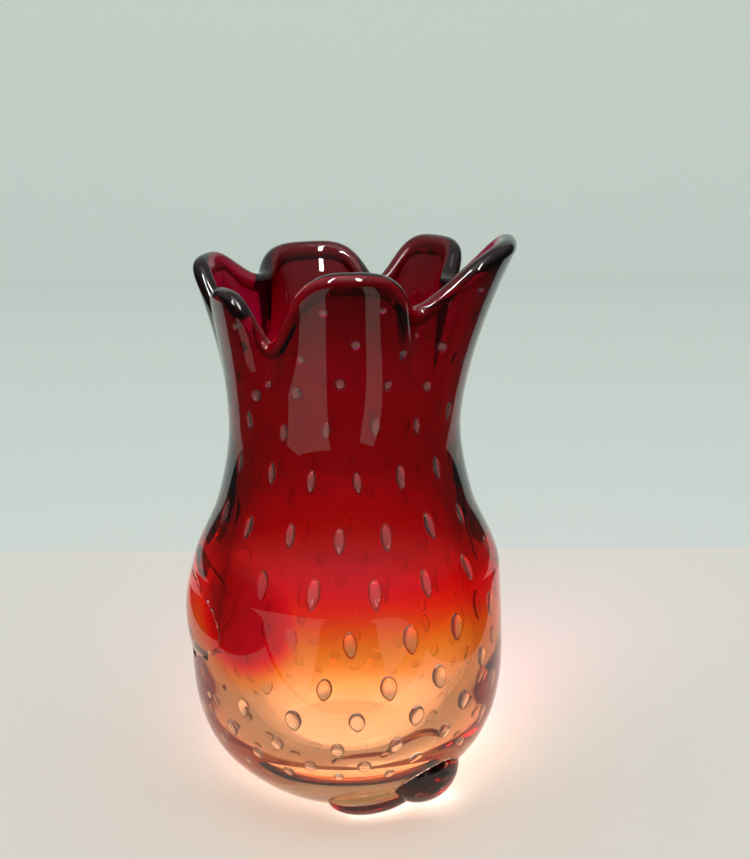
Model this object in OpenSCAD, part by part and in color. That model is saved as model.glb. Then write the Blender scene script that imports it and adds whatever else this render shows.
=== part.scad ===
// Hand-blown cased glass vase with a ruffled rim of six petals.
// Four pieces of glass, each gathered on its own and fused to its neighbour while hot:
//   colour_bubble  the inner blown bubble, ruby at the rim and amber at the base
//   clear_casing   the thick clear gather over it, which makes the lip and the heavy foot
//   side_bit       a clear bit of glass applied to the side of the belly
//   heel_bit       a long clear bit applied to the heel
// Millimetres, +Z up. The origin is the middle of the ground foot. Angles run round the
// axis from the front (-Y), positive towards +X.

/* [Body] */
// Radius of the flat ground foot
foot_r = 30; // [27:0.5:33]
// Largest radius of the belly
belly_r = 62; // [60:0.5:64]
// Height of the widest part of the belly
belly_z = 50; // [46:1:54]
// Height at which the belly turns in towards the neck
shoulder_z = 99; // [95:1:102]
// Smallest radius of the neck
neck_r = 44.5; // [43:0.5:46]
// Height of the narrowest part of the neck
neck_z = 150; // [146:1:154]

/* [Rim] */
// How far every petal and notch is raised or lowered
rim_lift = 0; // [-4:0.5:4]
// How far every petal and notch leans out
rim_flare = 0; // [-2:0.5:4]
// Power of the curve by which the neck opens to the rim
flare_power = 1.6; // [1.5:0.1:2.4]
// Thickness of the rounded lip
lip_t = 7; // [6.4:0.2:7.4]

/* [Glass] */
// Thickness of the clear casing round the belly
casing_belly_t = 9.5; // [8:0.5:10.5]
// Thickness of the clear casing round the neck
casing_neck_t = 4; // [3.5:0.25:4.5]
// Thickness of the clear glass under the coloured bubble
base_t = 15; // [12:1:18]
// Thickness of the coloured bubble
colour_t = 2.4; // [2:0.2:3]
// Thickness of the clear skin round the bead of colour inside the lip
lip_skin_t = 0.7; // [0.5:0.1:1]

/* [Applied bits] */
// Angle of the bit on the side
side_angle = -85; // [-90:1:-80]
// Height of the middle of the bit on the side
side_z = 74; // [72:1:76]
// Angle of the bit on the heel
heel_angle = 40; // [36:1:44]
// Height of the middle of the bit on the heel
heel_z = 20; // [19:0.5:21]

/* [Hidden] */

columns = 68;
span_steps = 3;
rim_steps = 9;
lip_steps = 5;
bead_steps = 4;

// Petals and notches of the rim by turns, each as [angle, height, radius, breadth]. Breadth is
// that of the petal on the way to the next stop: 1 falls away at once and 2 stays broad.
rim = [
    [1, 212, 56, 1.9], [39, 197, 44, 1.9], [84, 216.5, 64.5, 1.9], [110, 199, 47, 1.9],
    [137, 210.5, 57, 1.9], [163, 194.5, 46, 1.9], [196, 206, 58, 1.9], [231, 198.5, 46, 1.9],
    [254, 207.5, 58, 1.9], [277, 191, 49, 1.9], [298, 201.5, 51, 1.9], [320, 184.5, 43, 1.2]
];

// A curve through a list of knots, by Catmull-Rom. before and after are the knots that
// set the direction at its two ends.
function curve_point(a, b, c, d, u) =
    0.5 * (2 * b + (c - a) * u + (2 * a - 5 * b + 4 * c - d) * u * u + (3 * b - a - 3 * c + d) * u * u * u);

function curve(knots, before, after) =
    let (all = concat([before], knots, [after]), last = len(knots) - 1)
    concat(
        [
            for (i = [0 : last - 1], k = [0 : span_steps - 1])
                curve_point(all[i], all[i + 1], all[i + 2], all[i + 3], k / span_steps)
        ],
        [knots[last]]
    );

// The outside of the body from the foot to the neck, as [radius, height]. The middle of the
// way from the shoulder to the neck is [mid_r, mid_z].
mid_z = shoulder_z + 22;
mid_r = neck_r + 5;
outer_knots = [
    [foot_r, 0], [foot_r + 15, 11], [belly_r - 5, 27], [belly_r, belly_z],
    [belly_r - 1.2, shoulder_z - 13], [belly_r - 3.2, shoulder_z], [mid_r, mid_z], [neck_r, neck_z]
];
outer_profile = curve(outer_knots, [foot_r - 15, -6], [mid_r, 2 * neck_z - mid_z]);

// A layer inside the body, from the axis to the neck. It lies belly_t inside the belly,
// neck_t inside the neck and bottom_z above the foot.
function layer_profile(belly_t, neck_t, bottom_z) =
    let (
        mid_t = (belly_t + neck_t) / 2,
        side_r = belly_r - belly_t,
        floor_r = 0.42 * belly_r,
        floor_z = bottom_z + 2.5,
        turn_z = (bottom_z + belly_z) / 2 - 2,
        knots = [
            [0, bottom_z], [floor_r, floor_z], [side_r - 8, turn_z], [side_r, belly_z + 6],
            [side_r - 1.5, shoulder_z - 14], [side_r - 3.6, shoulder_z - 2],
            [mid_r - mid_t, mid_z - 1], [neck_r - neck_t, neck_z]
        ]
    )
    curve(knots, [-floor_r, floor_z], [mid_r - mid_t, 2 * neck_z - mid_z + 1]);

contact_profile = layer_profile(casing_belly_t, casing_neck_t, base_t);
base_extra = 1;
cavity_profile = layer_profile(casing_belly_t + colour_t, casing_neck_t + colour_t, base_t + colour_t + base_extra);

// Height and radius of the rim at an angle, as [height, radius]. The petals are broad and
// the notches narrow, so the way from petal to notch starts slowly.
function rim_stop(i) = rim[i % len(rim)] + [floor(i / len(rim)) * 360, 0, 0, 0];

function rim_between(i, angle) =
    let (
        a = rim_stop(i),
        b = rim_stop(i + 1),
        share = (angle - a[0]) / (b[0] - a[0]),
        from_petal = i % 2 == 0 ? share : 1 - share,
        bent = pow(from_petal, a[3]),
        eased = bent * bent * (3 - 2 * bent),
        way = i % 2 == 0 ? eased : 1 - eased
    )
    [a[1] + (b[1] - a[1]) * way + rim_lift, a[2] + (b[2] - a[2]) * way + rim_flare];

function rim_at(angle) =
    let (
        turned = rim[0][0] + (angle - rim[0][0] + 720) % 360,
        i = [for (k = [0 : len(rim) - 1]) if (turned >= rim_stop(k)[0] && turned < rim_stop(k + 1)[0]) k][0]
    )
    rim_between(i, turned);

function round_point(radius, z, angle) = [radius * sin(angle), -radius * cos(angle), z];

// The outside of the ruffled rim: share 0 is the neck and share 1 is the lip.
function ruffle(angle, share) =
    let (edge = rim_at(angle))
    round_point(
        neck_r + (edge[1] - neck_r) * pow(share, flare_power),
        neck_z + (edge[0] - neck_z) * share,
        angle
    );

function unit(v) = v / norm(v);

// Directions on the ruffled surface: along the rim, up the wall and out of the glass.
function ruffle_along(angle, share) = unit(ruffle(angle + 1, share) - ruffle(angle - 1, share));
function ruffle_up(angle, share) = unit(ruffle(angle, share + 0.01) - ruffle(angle, share - 0.01));
function ruffle_out(angle, share) =
    share == 0 ? round_point(1, 0, angle) : unit(cross(ruffle_along(angle, share), ruffle_up(angle, share)));

// A point at a depth below the ruffled surface.
function inside(angle, share, depth) = ruffle(angle, share) - depth * ruffle_out(angle, share);

// Half a circle round the middle of the lip, from the outside (turn 0) over the top to the
// inside (turn 180).
function lip_point(angle, turn, radius) =
    let (
        out = ruffle_out(angle, 1),
        over = unit(cross(out, ruffle_along(angle, 1)))
    )
    ruffle(angle, 1) - lip_t / 2 * out + radius * (cos(turn) * out + sin(turn) * over);

angles = [for (i = [0 : columns - 1]) i * 360 / columns];

function body_rows(profile) = [for (p = profile) [for (a = angles) round_point(p[0], p[1], a)]];
function rim_rows(depth, top_share) =
    [for (k = [1 : rim_steps]) [for (a = angles) inside(a, k / rim_steps * top_share, depth)]];
function half_round(radius, first, steps) =
    [for (k = [first : steps]) [for (a = angles) lip_point(a, k * 180 / steps, radius)]];
function reversed(rows) = [for (i = [len(rows) - 1 : -1 : 0]) rows[i]];
function from_second(rows) = [for (i = [1 : len(rows) - 1]) rows[i]];

// The colour swells into a bead inside the lip. The clear lip comes down over the inside of it
// as a skin that ends at ledge_share of the height of the rim.
wall_t = casing_neck_t + colour_t;
ledge_share = 0.94;

outer_rows = concat(body_rows(outer_profile), rim_rows(0, 1));
contact_rows = concat(body_rows(from_second(contact_profile)), rim_rows(casing_neck_t, ledge_share));
cavity_rows = concat(body_rows(from_second(cavity_profile)), rim_rows(wall_t, ledge_share));
ledge_row = cavity_rows[len(cavity_rows) - 1];
lip_rows = half_round(lip_t / 2, 1, lip_steps + 1);
bead_rows = half_round(lip_t / 2 - lip_skin_t, 0, bead_steps);

// A closed skin through rows of points, ended by a pole on the axis at each end.
module skin(start, rows, end) {
    n = columns;
    count = len(rows);
    points = concat([start], [for (row = rows) each row], [end]);
    last = len(points) - 1;
    first_fan = [for (i = [0 : n - 1]) [0, 1 + i, 1 + (i + 1) % n]];
    last_fan = [for (i = [0 : n - 1]) [last, last - n + (i + 1) % n, last - n + i]];
    bands = [
        for (r = [0 : count - 2], i = [0 : n - 1])
            let (
                a = 1 + r * n + i,
                b = 1 + r * n + (i + 1) % n,
                c = b + n,
                d = a + n
            )
            each [[a, d, c], [a, c, b]]
    ];
    polyhedron(points = points, faces = concat(first_fan, bands, last_fan));
}

// A smooth lump of glass with its middle at a radius, height and angle. size is its length
// across, its height up the wall and its depth through it. A lean below 0 lifts the right end.
module lump(angle, z, middle_r, lean, size) {
    translate(round_point(middle_r, z, angle))
        rotate([0, lean, angle])
            scale([size[0], size[2], size[1]] / 2)
                sphere(r = 1, $fn = 48);
}

module outside_of_casing() {
    skin([0, 0, 0], body_rows(outer_profile), [0, 0, neck_z]);
}

module clear_casing() {
    color([0.86, 0.88, 0.87, 0.45])
        skin(
            [0, 0, 0],
            concat(outer_rows, lip_rows, [ledge_row], reversed(bead_rows), reversed(contact_rows)),
            [0, 0, base_t]
        );
}

module colour_bubble() {
    color([0.62, 0.03, 0.07])
        skin(
            [0, 0, base_t],
            concat(contact_rows, bead_rows, reversed(cavity_rows)),
            [0, 0, base_t + colour_t + base_extra]
        );
}

// A broad thin bit: only the outer skin of a big ball stands out of the wall.
side_bit_proud = 2;
side_bit_r = 52.5;

module side_bit() {
    color([0.8, 0.85, 0.82])
        difference() {
            translate(round_point(belly_r + side_bit_proud - side_bit_r, side_z, side_angle))
                sphere(r = side_bit_r, $fn = 180);
            outside_of_casing();
        }
}

// A round head, and a lower tail drawn out to the left of it. Both lie with the right end
// higher, as the gather was laid on.
heel_head = [32, 29, 28];
heel_tail = [38, 18, 22];
head_r = foot_r + 14;
tail_r = foot_r + 8.5;
head_lean = -8;
tail_lean = -6;
tail_turn = 24;
tail_drop = 8.5;

module heel_bit() {
    color([0.75, 0.8, 0.78])
        difference() {
            union() {
                lump(heel_angle, heel_z, head_r, head_lean, heel_head);
                lump(heel_angle - tail_turn, heel_z - tail_drop, tail_r, tail_lean, heel_tail);
            }
            outside_of_casing();
        }
}

clear_casing();
colour_bubble();
side_bit();
heel_bit();
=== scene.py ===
"""Hand-blown cased glass vase with a ruffled rim, built over the CAD frame.

The pieces are made the way the real ones are: each layer of glass is a profile spun round the
axis, and its top is then drawn out into petals. Air bubbles are voids in the clear casing, and
the two applied bits are lumps of clear glass whose backs are cut to the wall they are fused to.
Metres, +Z up, the front of the vase faces -Y. Angles run round the axis from the front, positive
towards +X.
"""
from math import atan2, cos, degrees, floor, hypot, pi, radians, sin
from random import Random

import bmesh
import bpy
from mathutils import Matrix, Vector, noise
from mathutils.bvhtree import BVHTree


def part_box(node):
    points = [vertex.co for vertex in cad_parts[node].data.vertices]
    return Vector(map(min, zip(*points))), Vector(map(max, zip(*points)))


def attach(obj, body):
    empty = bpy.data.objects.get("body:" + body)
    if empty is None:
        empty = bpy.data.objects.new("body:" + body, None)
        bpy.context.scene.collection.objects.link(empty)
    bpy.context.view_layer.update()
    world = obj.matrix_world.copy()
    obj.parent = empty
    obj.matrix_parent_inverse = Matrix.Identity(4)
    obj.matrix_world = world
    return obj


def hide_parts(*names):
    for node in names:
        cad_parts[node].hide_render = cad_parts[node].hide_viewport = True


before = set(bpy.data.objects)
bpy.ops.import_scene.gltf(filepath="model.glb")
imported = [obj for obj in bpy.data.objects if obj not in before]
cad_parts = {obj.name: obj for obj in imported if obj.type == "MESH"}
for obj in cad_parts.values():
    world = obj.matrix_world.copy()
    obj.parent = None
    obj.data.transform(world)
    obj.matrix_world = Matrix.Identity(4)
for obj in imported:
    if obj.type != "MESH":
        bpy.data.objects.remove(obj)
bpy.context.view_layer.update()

bl_info = {
    "name": "Blown glass vase",
    "version": (1, 0, 0),
    "blender": (4, 5, 0),
    "location": "View3D > Sidebar > Glass vase",
    "description": "Builds a cased glass vase with trapped bubbles, a ruffled rim and applied bits",
    "category": "Add Mesh",
}

# The CAD casing was drawn this many millimetres tall, which gives the length of one millimetre.
DRAWN_HEIGHT = 221.5
CASING_LOW, CASING_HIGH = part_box("clear_casing")
MM = (CASING_HIGH.z - CASING_LOW.z) / DRAWN_HEIGHT

# Sizes of the blown body, the same as those of the CAD.
FOOT_R = 30 * MM
BELLY_R = 62 * MM
BELLY_Z = 50 * MM
SHOULDER_Z = 99 * MM
NECK_R = 44.5 * MM
NECK_Z = 150 * MM
MID_Z = SHOULDER_Z + 22 * MM
MID_R = NECK_R + 5 * MM
CASING_BELLY_T = 9.5 * MM
CASING_NECK_T = 4 * MM
BASE_T = 15 * MM
COLOUR_T = 2.4 * MM
WALL_T = CASING_NECK_T + COLOUR_T
LIP_T = 7 * MM
FLARE_POWER = 1.6
LEDGE_SHARE = 0.94
LIP_SKIN_T = 0.7 * MM

# Petals and notches of the rim by turns: angle in degrees, height and radius in millimetres, and
# the breadth of the petal on the way to the next stop: 1 falls away at once and 2 stays broad.
RIM = [
    (1, 212, 56, 1.9), (39, 197, 44, 1.9), (84, 216.5, 64.5, 1.9), (110, 199, 47, 1.9),
    (137, 210.5, 57, 1.9), (163, 194.5, 46, 1.9), (196, 206, 58, 1.9), (231, 198.5, 46, 1.9),
    (254, 207.5, 58, 1.9), (277, 191, 49, 1.9), (298, 201.5, 51, 1.9), (320, 184.5, 43, 1.2),
]

# Before it is drawn out, the rim is a straight tube of this length above the neck.
TUBE = 60 * MM

# How finely the skins are divided: round the axis, along each span of a profile, up the rim and
# over the lip.
COLUMNS = 180
SPAN_STEPS = 8
TUBE_STEPS = 26
LIP_STEPS = 12
# Balls have at least this many rings, and more where the rings would be further apart than this.
BALL_RINGS = 64
BALL_STEP = 0.45 * MM
# Points nearer than this are one point, on a spun skin and where a bit's outline is cut in.
WELD = 0.02 * MM
IMPRINT_WELD = 0.03 * MM
# The bubble is this much smaller than the hollow of the casing that it lies in.
FIT = 0.1 * MM
# Share of the rim over which its slope is taken.
NEAR = 0.01

CASING_NAME = "gathered_clear_casing"

# How much of the wall's colour one crossing of the bead stands for.
BEAD_SHARE = 0.4
BEAD_MARK = "colour_share"

# Rings of trapped air bubbles: height and turn of the ring, then width and length of a bubble.
# The turn is in degrees and the rest in millimetres.
RINGS = [
    (203.6, -6, 4.0, 3.4), (190, 5.6, 4.4, 4.2), (176, 0, 4.4, 5.0), (158.5, -7, 4.0, 7.6),
    (139, 7, 4.0, 9.6), (119, -2.3, 4.4, 10.6), (101, 11, 4.8, 10.8), (81, 1.6, 5.8, 11.6),
    (64, -7.4, 6.0, 9.4), (50, 3.4, 6.0, 8), (38, -4, 5.6, 6.6), (28, 7, 5.0, 5.4), (20, -4, 4.0, 4.2),
]
# How deep in the casing a bubble lies, from the outside to the colour.
BUBBLE_DEPTH_SHARE = 0.62
# A bubble is a lens this thick for its width. Those at the back are flatter.
LENS_POWER = 0.6
FRONT_THICKNESS = 0.34
BACK_THICKNESS = 0.14
# Bubbles end this far below the lip.
CLEAR_OF_LIP = 6 * MM
# How far chance moves a bubble round (as a share of the gap to the next one) and up or down, how
# far it leans in radians, and its size.
ROUND_CHANCE = 0.05
HEIGHT_CHANCE = 0.7
LEAN_CHANCE = 0.14
SIZE_CHANCE = (0.88, 1.08)
# Seed bubbles lie between these heights and have these widths, in millimetres.
SEED_HEIGHTS = (30, 180)
SEED_WIDTHS = (0.3, 0.55)

# The bit on the side is the outer skin of a big ball: its radius and the angle and height of its
# middle.
SIDE_R = 52.5 * MM
SIDE_PROUD = 2 * MM
SIDE_ANGLE = -85
SIDE_Z = 74 * MM

# The bit on the heel has a round head and a lower tail, each with the (angle, height, radius) of
# its middle, how far it leans (below 0 lifts the right end), and its half sizes across, through
# the wall and up the wall.
HEEL_HEAD = ((40, 20 * MM, FOOT_R + 14 * MM), -8, (16 * MM, 14 * MM, 14.5 * MM))
HEEL_TAIL = ((16, 11.5 * MM, FOOT_R + 8.5 * MM), -6, (19 * MM, 11 * MM, 9 * MM))

# Unevenness left by hand: its depth, the length of one wave, and the height at which it starts
# and over which it grows.
WAVE_DEPTH = 0.35 * MM
WAVE_LENGTH = 38 * MM
WAVES_FROM = 4 * MM
WAVES_FADE = 20 * MM

# Edges of more than this many degrees stay sharp: the rim of the ground foot.
SHARP_EDGE = 30


def curve_point(a, b, c, d, u):
    """A point on the Catmull-Rom span from b to c."""
    square = 2 * a - 5 * b + 4 * c - d
    cube = 3 * b - a - 3 * c + d
    return 0.5 * (2 * b + (c - a) * u + square * u * u + cube * u**3)


def curve(knots, before, after):
    """A smooth line through (radius, height) knots, as vectors."""
    knots = [Vector(k) for k in [before, *knots, after]]
    points = []
    for i in range(len(knots) - 3):
        for step in range(SPAN_STEPS):
            points.append(curve_point(*knots[i : i + 4], step / SPAN_STEPS))
    points.append(knots[-2])
    return points


def outer_profile():
    """The outside of the body from the edge of the foot to the neck."""
    knots = [
        (FOOT_R, 0),
        (FOOT_R + 15 * MM, 11 * MM),
        (BELLY_R - 5 * MM, 27 * MM),
        (BELLY_R, BELLY_Z),
        (BELLY_R - 1.2 * MM, SHOULDER_Z - 13 * MM),
        (BELLY_R - 3.2 * MM, SHOULDER_Z),
        (MID_R, MID_Z),
        (NECK_R, NECK_Z),
    ]
    return curve(knots, (FOOT_R - 15 * MM, -6 * MM), (MID_R, 2 * NECK_Z - MID_Z))


def layer_profile(belly_t, neck_t, bottom_z):
    """A layer inside the body, from the axis to the neck."""
    mid_t = (belly_t + neck_t) / 2
    belly = BELLY_R - belly_t
    low_r = 0.42 * BELLY_R
    low_z = bottom_z + 2.5 * MM
    knots = [
        (0, bottom_z),
        (low_r, low_z),
        (belly - 8 * MM, (bottom_z + BELLY_Z) / 2 - 2 * MM),
        (belly, BELLY_Z + 6 * MM),
        (belly - 1.5 * MM, SHOULDER_Z - 14 * MM),
        (belly - 3.6 * MM, SHOULDER_Z - 2 * MM),
        (MID_R - mid_t, MID_Z - MM),
        (NECK_R - neck_t, NECK_Z),
    ]
    return curve(knots, (-low_r, low_z), (MID_R - mid_t, 2 * NECK_Z - MID_Z + MM))


OUTER = outer_profile()
CONTACT = layer_profile(CASING_BELLY_T, CASING_NECK_T, BASE_T)
CAVITY = layer_profile(CASING_BELLY_T + COLOUR_T, CASING_NECK_T + COLOUR_T, BASE_T + COLOUR_T + MM)


def round_point(radius, height, angle):
    """A point at a radius and height, angle degrees round from the front."""
    turn = radians(angle)
    return Vector((radius * sin(turn), -radius * cos(turn), height))


def rim_at(angle):
    """Height and radius of the lip at an angle. Petals are broad and notches narrow."""
    first = RIM[0][0]
    turned = first + (angle - first) % 360
    stops = RIM + [(first + 360, *RIM[0][1:])]
    i = max(k for k in range(len(RIM)) if stops[k][0] <= turned)
    a, b = stops[i], stops[i + 1]
    share = (turned - a[0]) / (b[0] - a[0])
    from_petal = share if i % 2 == 0 else 1 - share
    bent = from_petal ** a[3]
    eased = bent * bent * (3 - 2 * bent)
    way = eased if i % 2 == 0 else 1 - eased
    return (a[1] + (b[1] - a[1]) * way) * MM, (a[2] + (b[2] - a[2]) * way) * MM


def ruffle(angle, share):
    """The outside of the drawn-out rim: share 0 is the neck and share 1 is the lip."""
    height, radius = rim_at(angle)
    out = NECK_R + (radius - NECK_R) * max(share, 0) ** FLARE_POWER
    return round_point(out, NECK_Z + (height - NECK_Z) * share, angle)


def ruffle_up(angle, share):
    """The direction up the drawn-out wall."""
    return (ruffle(angle, share + NEAR) - ruffle(angle, share - NEAR)).normalized()


def ruffle_out(angle, share):
    """The direction out of the glass, and the direction on over the lip."""
    along = (ruffle(angle + 1, share) - ruffle(angle - 1, share)).normalized()
    out = along.cross(ruffle_up(angle, share)).normalized()
    if share < 2 * NEAR:
        out = out.lerp(round_point(1, 0, angle), 1 - share / (2 * NEAR)).normalized()
    return out, out.cross(along).normalized()


def drawn_out(point):
    """Where a point of the straight tube goes when the rim is drawn out into petals."""
    if point.z <= NECK_Z:
        return point.copy()
    angle = degrees(atan2(point.x, -point.y))
    depth = NECK_R - hypot(point.x, point.y)
    share = min((point.z - NECK_Z) / TUBE, 1)
    over_lip = max(point.z - NECK_Z - TUBE, 0)
    out, over = ruffle_out(angle, share)
    return ruffle(angle, share) - depth * out + over_lip * over


def hand_waves(point):
    """The slight unevenness that hand work leaves, none at the flat foot."""
    fade = min(max((point.z - WAVES_FROM) / WAVES_FADE, 0), 1)
    outward = Vector((point.x, point.y, 0)).normalized()
    wave = noise.noise(point / WAVE_LENGTH)
    return point + outward * wave * WAVE_DEPTH * fade


def activate(obj):
    """Makes obj the only selected object and the active one."""
    bpy.ops.object.select_all(action="DESELECT")
    obj.select_set(True)
    bpy.context.view_layer.objects.active = obj


def new_object(name, points, edges, faces, materials):
    """A mesh object at the origin."""
    mesh = bpy.data.meshes.new(name)
    mesh.from_pydata(points, edges, faces)
    for material in materials:
        mesh.materials.append(material)
    obj = bpy.data.objects.new(name, mesh)
    bpy.context.scene.collection.objects.link(obj)
    return obj


def spun_strip(name, line, material):
    """A line of (radius, height) points spun once round the axis."""
    points = [(p[0], 0, p[1]) for p in line]
    edges = [(i, i + 1) for i in range(len(points) - 1)]
    strip = new_object(name, points, edges, [], [material])
    activate(strip)
    bpy.ops.object.mode_set(mode="EDIT")
    bpy.ops.mesh.select_all(action="SELECT")
    bpy.ops.mesh.spin(steps=COLUMNS, angle=2 * pi, center=(0, 0, 0), axis=(0, 0, 1))
    bpy.ops.object.mode_set(mode="OBJECT")
    return strip


def join(objects, name):
    """One object out of several."""
    bpy.ops.object.select_all(action="DESELECT")
    for obj in objects:
        obj.select_set(True)
    bpy.context.view_layer.objects.active = objects[0]
    bpy.ops.object.join()
    joined = bpy.context.view_layer.objects.active
    joined.name = name
    joined.data.name = name
    return joined


def close_seams(obj):
    """Welds the strips into one closed skin whose faces point outwards."""
    activate(obj)
    bpy.ops.object.mode_set(mode="EDIT")
    bpy.ops.mesh.select_all(action="SELECT")
    bpy.ops.mesh.remove_doubles(threshold=WELD)
    bpy.ops.mesh.normals_make_consistent(inside=False)
    bpy.ops.object.mode_set(mode="OBJECT")


def shape_by_hand(obj):
    """Draws the rim out into petals and leaves the marks of hand work."""
    for vertex in obj.data.vertices:
        vertex.co = hand_waves(drawn_out(vertex.co))
    obj.data.update()
    activate(obj)
    bpy.ops.object.shade_smooth_by_angle(angle=radians(SHARP_EDGE))


def tube_line(depth):
    """The part of a layer above the neck, as it is before the rim is drawn out."""
    heights = [NECK_Z + TUBE * k / TUBE_STEPS for k in range(1, TUBE_STEPS + 1)]
    return [Vector((NECK_R - depth, height)) for height in heights]


def bead_line(radius):
    """A half circle round the middle of the lip, from the outside to the inside."""
    middle = Vector((NECK_R - LIP_T / 2, NECK_Z + TUBE))
    turns = [pi * k / LIP_STEPS for k in range(LIP_STEPS + 1)]
    return [middle + Vector((cos(t), sin(t))) * radius for t in turns]


def below_lip(line):
    """The part of a layer below the edge of the clear lip's inner skin."""
    return [p for p in line if p[1] <= NECK_Z + TUBE * LEDGE_SHARE]


def lip_skin():
    """Where the clear lip comes down over the inside of the colour layer to nothing."""
    return [p for p in tube_line(WALL_T)[:-1] if p[1] > NECK_Z + TUBE * LEDGE_SHARE]


def mark_bead(bubble):
    """Notes how much of the colour each crossing of the skin stands for: the bead is crossed twice."""
    marks = bubble.data.attributes.new(BEAD_MARK, "FLOAT", "POINT")
    for vertex, mark in zip(bubble.data.vertices, marks.data):
        mark.value = BEAD_SHARE if vertex.co.z > NECK_Z + TUBE * LEDGE_SHARE else 1


def radius_at(profile, height):
    """Radius of a profile at a height, on its outer side."""
    for low, high in zip(profile, profile[1:]):
        if low[1] <= height <= high[1]:
            share = (height - low[1]) / max(high[1] - low[1], 1e-9)
            return low[0] + (high[0] - low[0]) * share
    return profile[-1][0]


def wall_place(angle, height):
    """Middle of the gap in the casing that a bubble lies in, before waves, with its axes."""
    if height > NECK_Z:
        share = (height - NECK_Z) / (RIM[0][1] * MM - NECK_Z)
        out, _over = ruffle_out(angle, share)
        place = ruffle(angle, share) - CASING_NECK_T / 2 * out
        return place, out, ruffle_up(angle, share)
    step = MM
    outside = radius_at(OUTER, height)
    slope = (radius_at(OUTER, height + step) - radius_at(OUTER, height - step)) / (2 * step)
    up = round_point(slope, 1, angle).normalized()
    out = round_point(1, 0, angle + 90).cross(up).normalized()
    contact = radius_at(CONTACT, height)
    gap = (outside - contact) * cos(atan2(abs(slope), 1))
    place = round_point(outside, height, angle) - out * gap * BUBBLE_DEPTH_SHARE
    return place, out, up


def bubble_shape(rings, segments):
    """Points and faces of a bubble one unit long each way: a flat lens with a full edge, its lower
    end drawn to a soft point."""
    shape = bmesh.new()
    bmesh.ops.create_uvsphere(shape, u_segments=segments, v_segments=rings, radius=0.5)
    for vertex in shape.verts:
        side = 1 if vertex.co.y > 0 else -1
        vertex.co.y = side * 0.5 * abs(2 * vertex.co.y) ** LENS_POWER
        if vertex.co.z < 0:
            draw = 1 - 0.9 * abs(vertex.co.z) ** 1.5
            vertex.co.x *= draw
            vertex.co.y *= draw
    points = [v.co.copy() for v in shape.verts]
    faces = [[v.index for v in reversed(f.verts)] for f in shape.faces]
    shape.free()
    return points, faces


def air_bubbles(glass, in_ring, seeds):
    """All the trapped bubbles as one object, its faces pointing into the air."""
    chance = Random(7)
    ring_shape = bubble_shape(12, 20)
    seed_shape = bubble_shape(6, 8)
    points = []
    faces = []

    def add(shape, place, axes, width, thick, length):
        across, out, up = axes
        first = len(points)
        for p in shape[0]:
            points.append(place + across * p.x * width + out * p.y * thick + up * p.z * length)
        faces.extend([first + i for i in face] for face in shape[1])

    for height, turn, width, length in RINGS:
        for k in range(in_ring):
            angle = turn + 360 / in_ring * (k + chance.uniform(-ROUND_CHANCE, ROUND_CHANCE))
            place_z = height * MM + chance.uniform(-HEIGHT_CHANCE, HEIGHT_CHANCE) * MM
            share = (place_z - NECK_Z) / (RIM[0][1] * MM - NECK_Z)
            lip = rim_at(angle)[0]
            if share > 0 and NECK_Z + (lip - NECK_Z) * share > lip - CLEAR_OF_LIP:
                continue
            place, out, up = wall_place(angle, place_z)
            size = chance.uniform(*SIZE_CHANCE)
            lean = Matrix.Rotation(chance.uniform(-LEAN_CHANCE, LEAN_CHANCE), 3, out)
            up = lean @ up
            across = up.cross(out).normalized()
            thick = (FRONT_THICKNESS if out.y < 0.1 else BACK_THICKNESS) * width * MM
            add(ring_shape, place, (across, out, up), width * MM * size, thick, length * MM * size)
    for _seed in range(seeds):
        angle = chance.uniform(-180, 180)
        place, out, up = wall_place(angle, chance.uniform(*SEED_HEIGHTS) * MM)
        size = chance.uniform(*SEED_WIDTHS) * MM
        add(seed_shape, place, (up.cross(out).normalized(), out, up), size, size, size)
    return new_object("air_bubbles", points, [], faces, [glass])


# Materials. The clear glass is one finish, used for the casing, the inside of the bubble and the
# bits. Where two gathers fused, the seam is invisible.
CLEAR_GLASS = "fire-polished clear soda glass"
SEAM = "fused seam between two gathers of glass"
GLASS_IOR = 1.5


def colour(code):
    """A linear colour from an sRGB hex code."""
    channels = [int(code[i : i + 2], 16) / 255 for i in (1, 3, 5)]
    linear = [c / 12.92 if c <= 0.04045 else ((c + 0.055) / 1.055) ** 2.4 for c in channels]
    return (*linear, 1)


def add_node(tree, kind, settings=None, links=None):
    """Adds a node, sets its sockets and properties and links its inputs."""
    node = tree.nodes.new(kind)
    for name, value in (settings or {}).items():
        if isinstance(name, str) and hasattr(node, name):
            setattr(node, name, value)
        else:
            node.inputs[name].default_value = value
    for name, source in (links or {}).items():
        tree.links.new(source, node.inputs[name])
    return node


def empty_material(name):
    """A material with nothing but its output node."""
    material = bpy.data.materials.new(name)
    material.use_nodes = True
    tree = material.node_tree
    tree.nodes.clear()
    return material, tree, tree.nodes.new("ShaderNodeOutputMaterial")


def clear_glass(name, tint):
    """Fire-polished soda glass. Light passes it on the way to a lit surface as through a pane."""
    material, tree, output = empty_material(name)
    settings = {"Color": colour(tint), "Roughness": 0.0, "IOR": GLASS_IOR}
    glass = add_node(tree, "ShaderNodeBsdfGlass", settings)
    pane = add_node(tree, "ShaderNodeBsdfTransparent", {"Color": colour(tint)})
    path = add_node(tree, "ShaderNodeLightPath")
    mixed = add_node(
        tree,
        "ShaderNodeMixShader",
        links={0: path.outputs["Is Shadow Ray"], 1: glass.outputs[0], 2: pane.outputs[0]},
    )
    tree.links.new(mixed.outputs[0], output.inputs["Surface"])
    return material


def fused_seam():
    """The face where two pieces of clear glass melted into one, which light passes unbent."""
    material, tree, output = empty_material(SEAM)
    pane = add_node(tree, "ShaderNodeBsdfTransparent", {"Color": (1, 1, 1, 1)})
    tree.links.new(pane.outputs[0], output.inputs["Surface"])
    return material


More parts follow.
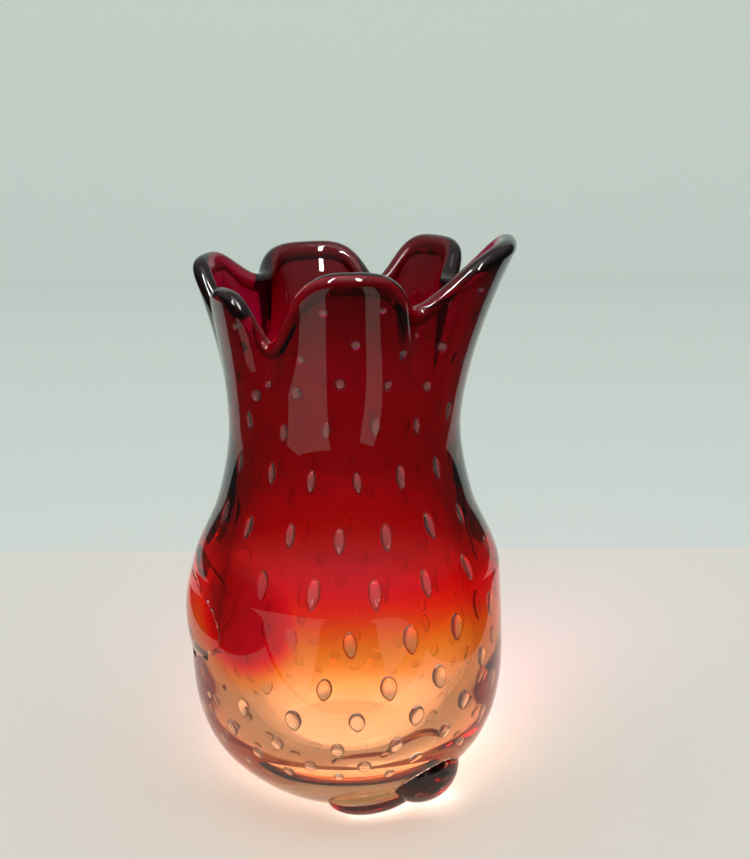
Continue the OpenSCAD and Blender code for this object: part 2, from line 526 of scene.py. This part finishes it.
# Heat-struck colour of the inner bubble, as light that has passed the wall once: height in
# millimetres and colour. It is nearly clear at the bottom, then amber, orange, red and ruby.
STRUCK_COLOURS = [
    (18, "#f9e2ce"), (46, "#f9dabf"), (60, "#fccea2"), (66, "#fdbf7c"),
    (73, "#ffb355"), (80, "#ff9b3c"), (86, "#ff6f35"), (91, "#fa3f35"),
    (97, "#ea1935"), (110, "#ce1638"), (133, "#c4163c"), (155, "#cb1842"),
    (180, "#c71b52"), (204, "#bc1d55"), (213, "#ad1d50"),
]
# The colour wanders up and down by this much over patches this big.
WANDER = 10 * MM
PATCH = 1 / 26
# Beside the side bit the colour reaches lower, most of all within the first distance.
LOWER_COLOUR_PLACE = round_point(52 * MM, 79 * MM, -46)
LOWER_COLOUR_NEAR = 10 * MM
LOWER_COLOUR_FAR = 26 * MM
LOWER_COLOUR_BY = 34 * MM
# Light that passes the wall aslant meets up to this many times as much colour.
MOST_SLANT = 2
# The colour of the back petals is this much deeper than that of the front ones.
BACK_EXTRA = 1.4
BACK_Y = (10 * MM, 40 * MM)
BACK_Z = (160 * MM, 195 * MM)
# Light on its way to the table gathers again behind the thick glass, so it keeps most of itself.
LIT_POWER = 0.15


def maths(tree, operation, *values):
    """A Math node, each of whose inputs is a number or a socket."""
    settings = {i: v for i, v in enumerate(values) if isinstance(v, (int, float))}
    links = {i: v for i, v in enumerate(values) if i not in settings}
    return add_node(tree, "ShaderNodeMath", {"operation": operation, **settings}, links).outputs[0]


def ramp_up(tree, value, span, ends=(0.0, 1.0)):
    """Goes from the first of ends to the second while value goes through span."""
    settings = {"From Min": span[0], "From Max": span[1], "To Min": ends[0], "To Max": ends[1]}
    return add_node(tree, "ShaderNodeMapRange", settings, {"Value": value}).outputs[0]


def struck_colour(tree, place, height):
    """Colour by height, wandering a little and reaching lower beside the side bit."""
    cloud = add_node(tree, "ShaderNodeTexNoise", {"Scale": 1 / PATCH, "Detail": 2.0}, {"Vector": place})
    shift = maths(tree, "MULTIPLY_ADD", cloud.outputs["Fac"], WANDER, -WANDER / 2)
    away = add_node(tree, "ShaderNodeVectorMath", {"operation": "DISTANCE", 1: LOWER_COLOUR_PLACE}, {0: place})
    # Near that point the colour of a higher level is used, so the colour band reaches lower there.
    drawn = ramp_up(tree, away.outputs["Value"], (LOWER_COLOUR_NEAR, LOWER_COLOUR_FAR), (LOWER_COLOUR_BY, 0.0))
    level = maths(tree, "ADD", maths(tree, "ADD", height, drawn), shift)
    low, high = STRUCK_COLOURS[0][0] * MM, STRUCK_COLOURS[-1][0] * MM
    ramp = add_node(tree, "ShaderNodeValToRGB", links={0: ramp_up(tree, level, (low, high))})
    stops = ramp.color_ramp.elements
    while len(stops) < len(STRUCK_COLOURS):
        stops.new(0.5)
    for stop, (z, code) in zip(stops, STRUCK_COLOURS):
        stop.position = (z * MM - low) / (high - low)
        stop.color = colour(code)
    return ramp.outputs[0]


def colour_met(tree, split):
    """How many walls' worth of colour the light meets in one crossing of the skin."""
    facing = add_node(tree, "ShaderNodeLayerWeight", {"Blend": 0.5}).outputs["Facing"]
    upright = maths(tree, "MAXIMUM", maths(tree, "SUBTRACT", 1.0, facing), 1 / MOST_SLANT)
    slant = maths(tree, "DIVIDE", 1.0, upright)
    back = ramp_up(tree, split.outputs["Y"], BACK_Y)
    top = ramp_up(tree, split.outputs["Z"], BACK_Z)
    thick = maths(tree, "MULTIPLY_ADD", maths(tree, "MULTIPLY", back, top), BACK_EXTRA, 1.0)
    mark = add_node(tree, "ShaderNodeAttribute", {"attribute_name": BEAD_MARK})
    return maths(tree, "MULTIPLY", maths(tree, "MULTIPLY", slant, mark.outputs["Fac"]), thick)


def ruby_amber_glass():
    """Selenium ruby glass, struck to red where it was reheated and left amber below."""
    material, tree, output = empty_material("ruby to amber heat-struck glass")
    place = add_node(tree, "ShaderNodeTexCoord").outputs["Object"]
    split = add_node(tree, "ShaderNodeSeparateXYZ", links={0: place})
    once = struck_colour(tree, place, split.outputs["Z"])
    met = colour_met(tree, split)
    deep = add_node(tree, "ShaderNodeVectorMath", {"operation": "POWER"}, {0: once, 1: met})
    lit = add_node(tree, "ShaderNodeVectorMath", {"operation": "POWER", 1: (LIT_POWER,) * 3}, {0: once})
    path = add_node(tree, "ShaderNodeLightPath")
    seen = add_node(
        tree,
        "ShaderNodeMix",
        {"data_type": "VECTOR"},
        {0: path.outputs["Is Shadow Ray"], 4: deep.outputs[0], 5: lit.outputs[0]},
    )
    tint = add_node(tree, "ShaderNodeBsdfTransparent", links={"Color": seen.outputs[1]})
    tree.links.new(tint.outputs[0], output.inputs["Surface"])
    return material


def painted(name, code, roughness):
    """A plain dull surface for the stage."""
    material, tree, output = empty_material(name)
    settings = {"Base Color": colour(code), "Roughness": roughness, "Specular IOR Level": 0.2}
    paint = add_node(tree, "ShaderNodeBsdfPrincipled", settings)
    tree.links.new(paint.outputs[0], output.inputs["Surface"])
    return material


def shared_material(name, make):
    """The material of that name, made the first time it is asked for."""
    return bpy.data.materials.get(name) or make()


class VaseSettings(bpy.types.PropertyGroup):
    """Sizes and colours that a user would change."""

    casing_tint: bpy.props.StringProperty(
        name="Casing tint", description="sRGB hex colour of the clear glass", default="#fbfdfc"
    )
    wall_colour: bpy.props.StringProperty(
        name="Wall", description="sRGB hex colour of the backdrop", default="#e4eae6"
    )
    floor_colour: bpy.props.StringProperty(
        name="Floor", description="sRGB hex colour of the table", default="#efebe3"
    )
    bubbles_in_ring: bpy.props.IntProperty(
        name="Bubbles in a ring", description="Air bubbles in each ring round the vase", default=16, min=3
    )
    seed_bubbles: bpy.props.IntProperty(
        name="Seed bubbles", description="Fine bubbles scattered in the clear glass", default=80, min=0
    )
    light_size: bpy.props.FloatProperty(
        name="Ceiling light", description="Width of the soft light overhead", default=1.0, unit="LENGTH"
    )
    lens: bpy.props.FloatProperty(
        name="Lens", description="Focal length of the camera", default=60.5, unit="CAMERA"
    )


def glass_and_seam(settings):
    """The two materials that every piece shares."""
    glass = shared_material(CLEAR_GLASS, lambda: clear_glass(CLEAR_GLASS, settings.casing_tint))
    return glass, shared_material(SEAM, fused_seam)


def lump(name, place, lean, size, material):
    """A smooth lump of glass at an (angle, height, radius). A lean below 0 lifts its right end."""
    rings = max(BALL_RINGS, round(max(size) / BALL_STEP))
    bpy.ops.mesh.primitive_uv_sphere_add(
        segments=2 * rings, ring_count=rings, radius=1, location=(0, 0, 0)
    )
    bit = bpy.context.view_layer.objects.active
    bit.name = name
    angle, height, middle_r = place
    turn = Matrix.Rotation(radians(angle), 3, "Z") @ Matrix.Rotation(radians(lean), 3, "Y")
    middle = round_point(middle_r, height, angle)
    for vertex in bit.data.vertices:
        ball = vertex.co
        vertex.co = middle + turn @ Vector((ball.x * size[0], ball.y * size[1], ball.z * size[2]))
    bit.data.materials.append(material)
    activate(bit)
    bpy.ops.object.shade_smooth()
    return bit


def cut_to_wall(bit, seam):
    """Takes away what would lie inside the casing, and leaves the cut face as a fused seam."""
    outside = [Vector((0, 0))] + OUTER + [Vector((0, NECK_Z))]
    body = spun_strip("wall_for_cutting", outside, seam)
    close_seams(body)
    shape_by_hand(body)
    modified(bit, "BOOLEAN", operation="DIFFERENCE", solver="EXACT", material_mode="TRANSFER", object=body)
    bpy.data.objects.remove(body)


def modified(obj, kind, **settings):
    """Adds a modifier to an object and applies it."""
    activate(obj)
    modifier = obj.modifiers.new(kind.lower(), kind)
    for name, value in settings.items():
        setattr(modifier, name, value)
    bpy.ops.object.modifier_apply(modifier=modifier.name)


def is_inside(tree, point):
    """Whether a point lies inside the closed skin of a search tree."""
    place, normal, _index, _distance = tree.find_nearest(point)
    return (point - place).dot(normal) < 0


def imprint(casing, bit, seam):
    """Cuts the outline of a lump into the casing and makes the wall under it a fused seam."""
    tree = BVHTree.FromObject(bit, bpy.context.evaluated_depsgraph_get())
    points = [v.co for v in bit.data.vertices]
    faces = [p.vertices for p in bit.data.polygons]
    marker = bpy.data.materials.new("stamp")
    stamp = new_object("stamp", points, [], faces, [marker])
    for face in casing.data.polygons:
        face.select = False
    for face in stamp.data.polygons:
        face.select = True
    join([casing, stamp], casing.name)
    stamp_slot = casing.data.materials.find(marker.name)
    bpy.ops.object.mode_set(mode="EDIT")
    bpy.ops.mesh.select_mode(type="FACE")
    bpy.ops.mesh.intersect(mode="SELECT_UNSELECT", separate_mode="NONE", solver="EXACT")
    skin = bmesh.from_edit_mesh(casing.data)
    stamped = [f for f in skin.faces if f.material_index == stamp_slot]
    bmesh.ops.delete(skin, geom=stamped, context="FACES")
    seam_slot = list(casing.data.materials).index(seam)
    for face in skin.faces:
        if is_inside(tree, face.calc_center_median()):
            face.material_index = seam_slot
    bmesh.update_edit_mesh(casing.data)
    bpy.ops.mesh.select_all(action="SELECT")
    bpy.ops.mesh.remove_doubles(threshold=IMPRINT_WELD)
    bpy.ops.object.mode_set(mode="OBJECT")
    casing.data.materials.pop(index=stamp_slot)
    bpy.data.materials.remove(marker)


def side_lump(glass):
    """The broad bit on the side, of which only the outer skin stands out of the wall."""
    place = (SIDE_ANGLE, SIDE_Z, BELLY_R + SIDE_PROUD - SIDE_R)
    return lump("side_bit_of_clear_glass", place, 0, (SIDE_R, SIDE_R, SIDE_R), glass)


def heel_lump(glass):
    """The bit on the heel: a round head with a lower tail to the left of it."""
    head = lump("heel_bit_of_clear_glass", *HEEL_HEAD, glass)
    tail = lump("heel_tail", *HEEL_TAIL, glass)
    modified(head, "BOOLEAN", operation="UNION", solver="EXACT", object=tail)
    bpy.data.objects.remove(tail)
    return head


def finish_piece(obj, node):
    """Hands a finished piece to the frame."""
    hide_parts(node)
    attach(obj, "root")


class VASE_OT_colour_bubble(bpy.types.Operator):
    """Blow the inner bubble, ruby at the rim and amber at the base"""

    bl_idname = "vase.colour_bubble"
    bl_label = "Blow the colour bubble"

    def execute(self, context):
        glass, _seam = glass_and_seam(context.scene.vase)
        ruby = ruby_amber_glass()
        shrink = 1 - FIT / CONTACT[-1][0]
        outside = [Vector((p[0] * shrink, p[1] + FIT / 2)) for p in CONTACT]
        outside += below_lip(tube_line(CASING_NECK_T + FIT))
        covered = lip_skin()
        inside = CAVITY + below_lip(tube_line(WALL_T))
        bead = bead_line(LIP_T / 2 - LIP_SKIN_T - FIT)
        strips = [
            spun_strip("bubble_outside", outside, ruby),
            spun_strip("bubble_cavity", inside, glass),
            spun_strip("bubble_bead", [outside[-1]] + bead + covered[::-1] + [inside[-1]], ruby),
        ]
        bubble = join(strips, "blown_colour_bubble")
        close_seams(bubble)
        mark_bead(bubble)
        shape_by_hand(bubble)
        finish_piece(bubble, "colour_bubble")
        return {"FINISHED"}


class VASE_OT_clear_casing(bpy.types.Operator):
    """Gather the clear casing over the bubble, with its rings of trapped air"""

    bl_idname = "vase.clear_casing"
    bl_label = "Gather the clear casing"

    def execute(self, context):
        glass, seam = glass_and_seam(context.scene.vase)
        outside = [Vector((0, 0))] + OUTER + tube_line(0)[:-1] + bead_line(LIP_T / 2)
        covered = lip_skin()
        edge = below_lip(tube_line(WALL_T))[-1]
        contact = CONTACT + below_lip(tube_line(CASING_NECK_T))
        contact += bead_line(LIP_T / 2 - LIP_SKIN_T) + covered[::-1] + [edge]
        strips = [
            spun_strip("casing_outside", outside, glass),
            spun_strip("casing_ledge", [outside[-1], edge], glass),
            spun_strip("casing_contact", contact, seam),
        ]
        casing = join(strips, CASING_NAME)
        close_seams(casing)
        shape_by_hand(casing)
        settings = context.scene.vase
        bubbles = air_bubbles(glass, settings.bubbles_in_ring, settings.seed_bubbles)
        activate(bubbles)
        bpy.ops.object.shade_smooth()
        casing = join([casing, bubbles], CASING_NAME)
        finish_piece(casing, "clear_casing")
        return {"FINISHED"}


class VASE_OT_applied_bits(bpy.types.Operator):
    """Apply the bit on the side and the bit on the heel"""

    bl_idname = "vase.applied_bits"
    bl_label = "Apply the bits"

    def execute(self, context):
        casing = bpy.data.objects.get(CASING_NAME)
        if casing is None:
            raise RuntimeError("The bits are applied to the clear casing, so gather the casing first.")
        glass, seam = glass_and_seam(context.scene.vase)
        for make, node in ((side_lump, "side_bit"), (heel_lump, "heel_bit")):
            bit = make(glass)
            imprint(casing, bit, seam)
            cut_to_wall(bit, seam)
            finish_piece(bit, node)
        return {"FINISHED"}


# The floor lies just under the foot, and the lit part of the table just over the rest of it. Each
# sheet has its paint, middle, size and whether the glass mirrors it.
FLOOR_Z = -0.3 * MM
LIT_Z = FLOOR_Z / 2
FLOORS = (
    ("table", "table", (0, 0.04, FLOOR_Z), (0.44, 0.42), True),
    ("floor_beyond", "room", (0, 0.85, FLOOR_Z), (1.2, 1.2), True),
    ("table_front", "table", (0, -1.17, FLOOR_Z), (3, 2.0), False),
    ("table_left", "table", (-0.86, 0.04, FLOOR_Z), (1.28, 0.42), False),
    ("table_right", "table", (0.86, 0.04, FLOOR_Z), (1.28, 0.42), False),
    ("floor_left", "room", (-1.05, 0.85, FLOOR_Z), (0.9, 1.2), False),
    ("floor_right", "room", (1.05, 0.85, FLOOR_Z), (0.9, 1.2), False),
    ("lit_table_left", "table", (-0.26, -0.33, LIT_Z), (0.34, 0.3), True),
    ("lit_table_right", "table", (0.16, -0.31, LIT_Z), (0.10, 0.18), True),
)

WALL_MIDDLE = (0, 1.1, 0.6)
WALL_SIZE = (1.6, 1.6)
TABLE_ROUGHNESS = 0.5
WALL_ROUGHNESS = 0.8

# Tube lights that give the streaks on the glass and don't light the table: place, size, power
# and whether it lights dull surfaces.
LIGHTS = (
    ("tube_left", (-0.45, -0.75, 1.05), (0.12, 0.7), 16.0, False),
    ("tube_right", (0.35, -0.95, 1.15), (0.12, 0.7), 16.0, False),
)
CEILING_PLACE = (0, -0.5, 1.4)
CEILING_POWER = 3.0
LIGHTS_AIM = Vector((0, 0, 0.1))

# The room round the stage: its colour and strength seen directly or through glass, and what the
# glass mirrors, which is dark near the horizon and bright overhead.
ROOM_COLOUR = "#e2e8e6"
ROOM_STRENGTH = 0.92
MIRRORED_COLOUR = "#d8c8cc"
MIRRORED_UP = (0.15, 0.75)
MIRRORED_STRENGTH = (0.09, 0.9)

CAMERA_PLACE = (11.65 * MM, -535.8 * MM, 303.3 * MM)
CAMERA_DOWN = 16.39
CAMERA_ROLL = -0.38

# Light crosses many skins of glass before it gets out.
GLASS_BOUNCES = 48
SEAM_BOUNCES = 128


class VASE_OT_stage(bpy.types.Operator):
    """Set the table, the wall, the lights and the camera"""

    bl_idname = "vase.stage"
    bl_label = "Set the stage"

    def execute(self, context):
        settings = context.scene.vase
        paints = {
            "table": painted("white table top", settings.floor_colour, TABLE_ROUGHNESS),
            "room": painted("pale wall paint", settings.wall_colour, WALL_ROUGHNESS),
        }
        for name, paint, middle, size, mirrored in FLOORS:
            sheet = self.plane(name, middle, size, (0, 0, 0), paints[paint])
            sheet.visible_glossy = mirrored
        self.plane("wall", WALL_MIDDLE, WALL_SIZE, (pi / 2, 0, 0), paints["room"])
        self.world(context.scene)
        for name, place, size, power, on_table in LIGHTS:
            self.soft_light(name, place, size, power, on_table)
        overhead = (settings.light_size, settings.light_size)
        self.soft_light("ceiling", CEILING_PLACE, overhead, CEILING_POWER, True)
        self.camera(context.scene, settings.lens)
        context.scene.view_settings.view_transform = "Standard"
        cycles = context.scene.cycles
        cycles.max_bounces = GLASS_BOUNCES
        cycles.glossy_bounces = GLASS_BOUNCES
        cycles.transmission_bounces = GLASS_BOUNCES
        cycles.transparent_max_bounces = SEAM_BOUNCES
        return {"FINISHED"}

    def plane(self, name, middle, size, turn, material):
        bpy.ops.mesh.primitive_plane_add(size=1, location=middle, rotation=turn)
        sheet = bpy.context.view_layer.objects.active
        sheet.name = name
        sheet.scale = (size[0], size[1], 1)
        sheet.data.materials.append(material)
        return sheet

    def soft_light(self, name, place, size, power, on_table):
        data = bpy.data.lights.new(name, "AREA")
        data.shape = "RECTANGLE"
        data.size, data.size_y = size
        data.energy = power
        lamp = bpy.data.objects.new(name, data)
        lamp.location = place
        aim = LIGHTS_AIM - Vector(place)
        lamp.rotation_euler = aim.to_track_quat("-Z", "Y").to_euler()
        lamp.visible_camera = False
        lamp.visible_diffuse = on_table
        bpy.context.scene.collection.objects.link(lamp)

    def world(self, scene):
        world = bpy.data.worlds.new("room")
        world.use_nodes = True
        tree = world.node_tree
        tree.nodes.clear()
        path = add_node(tree, "ShaderNodeLightPath")
        seen = {"Color": colour(ROOM_COLOUR), "Strength": ROOM_STRENGTH}
        bright = add_node(tree, "ShaderNodeBackground", seen)
        way = add_node(tree, "ShaderNodeTexCoord").outputs["Generated"]
        up = add_node(tree, "ShaderNodeSeparateXYZ", links={0: way}).outputs["Z"]
        rise = ramp_up(tree, up, MIRRORED_UP, MIRRORED_STRENGTH)
        shade = {"Color": colour(MIRRORED_COLOUR)}
        dark = add_node(tree, "ShaderNodeBackground", shade, {"Strength": rise})
        mirrored = add_node(
            tree,
            "ShaderNodeMath",
            {"operation": "SUBTRACT", "use_clamp": True},
            {0: path.outputs["Is Glossy Ray"], 1: path.outputs["Is Transmission Ray"]},
        )
        mixed = add_node(
            tree,
            "ShaderNodeMixShader",
            links={0: mirrored.outputs[0], 1: bright.outputs[0], 2: dark.outputs[0]},
        )
        output = tree.nodes.new("ShaderNodeOutputWorld")
        tree.links.new(mixed.outputs[0], output.inputs["Surface"])
        scene.world = world

    def camera(self, scene, lens):
        data = bpy.data.cameras.new("camera")
        data.sensor_width = 36
        data.lens = lens
        camera = bpy.data.objects.new("camera", data)
        scene.collection.objects.link(camera)
        place = Matrix.Translation(CAMERA_PLACE)
        tilt = Matrix.Rotation(radians(90 - CAMERA_DOWN), 4, "X")
        roll = Matrix.Rotation(radians(CAMERA_ROLL), 4, "Z")
        camera.matrix_world = place @ tilt @ roll
        scene.camera = camera


class VASE_PT_panel(bpy.types.Panel):
    """The steps of making the vase, in order"""

    bl_idname = "VASE_PT_panel"
    bl_label = "Glass vase"
    bl_space_type = "VIEW_3D"
    bl_region_type = "UI"
    bl_category = "Glass vase"

    def draw(self, context):
        column = self.layout.column()
        for field in VaseSettings.__annotations__:
            column.prop(context.scene.vase, field)
        for operator in OPERATORS:
            column.operator(operator.bl_idname)


OPERATORS = (VASE_OT_colour_bubble, VASE_OT_clear_casing, VASE_OT_applied_bits, VASE_OT_stage)


def register():
    """Registers the classes and the settings."""
    for cls in (VaseSettings, *OPERATORS, VASE_PT_panel):
        bpy.utils.register_class(cls)
    bpy.types.Scene.vase = bpy.props.PointerProperty(type=VaseSettings)


def unregister():
    """Takes the classes and the settings away again."""
    del bpy.types.Scene.vase
    for cls in reversed((VaseSettings, *OPERATORS, VASE_PT_panel)):
        bpy.utils.unregister_class(cls)


def main():
    """Builds the vase and its stage."""
    register()
    bpy.ops.vase.colour_bubble()
    bpy.ops.vase.clear_casing()
    bpy.ops.vase.applied_bits()
    bpy.ops.vase.stage()


if __name__ == "__main__":
    main()
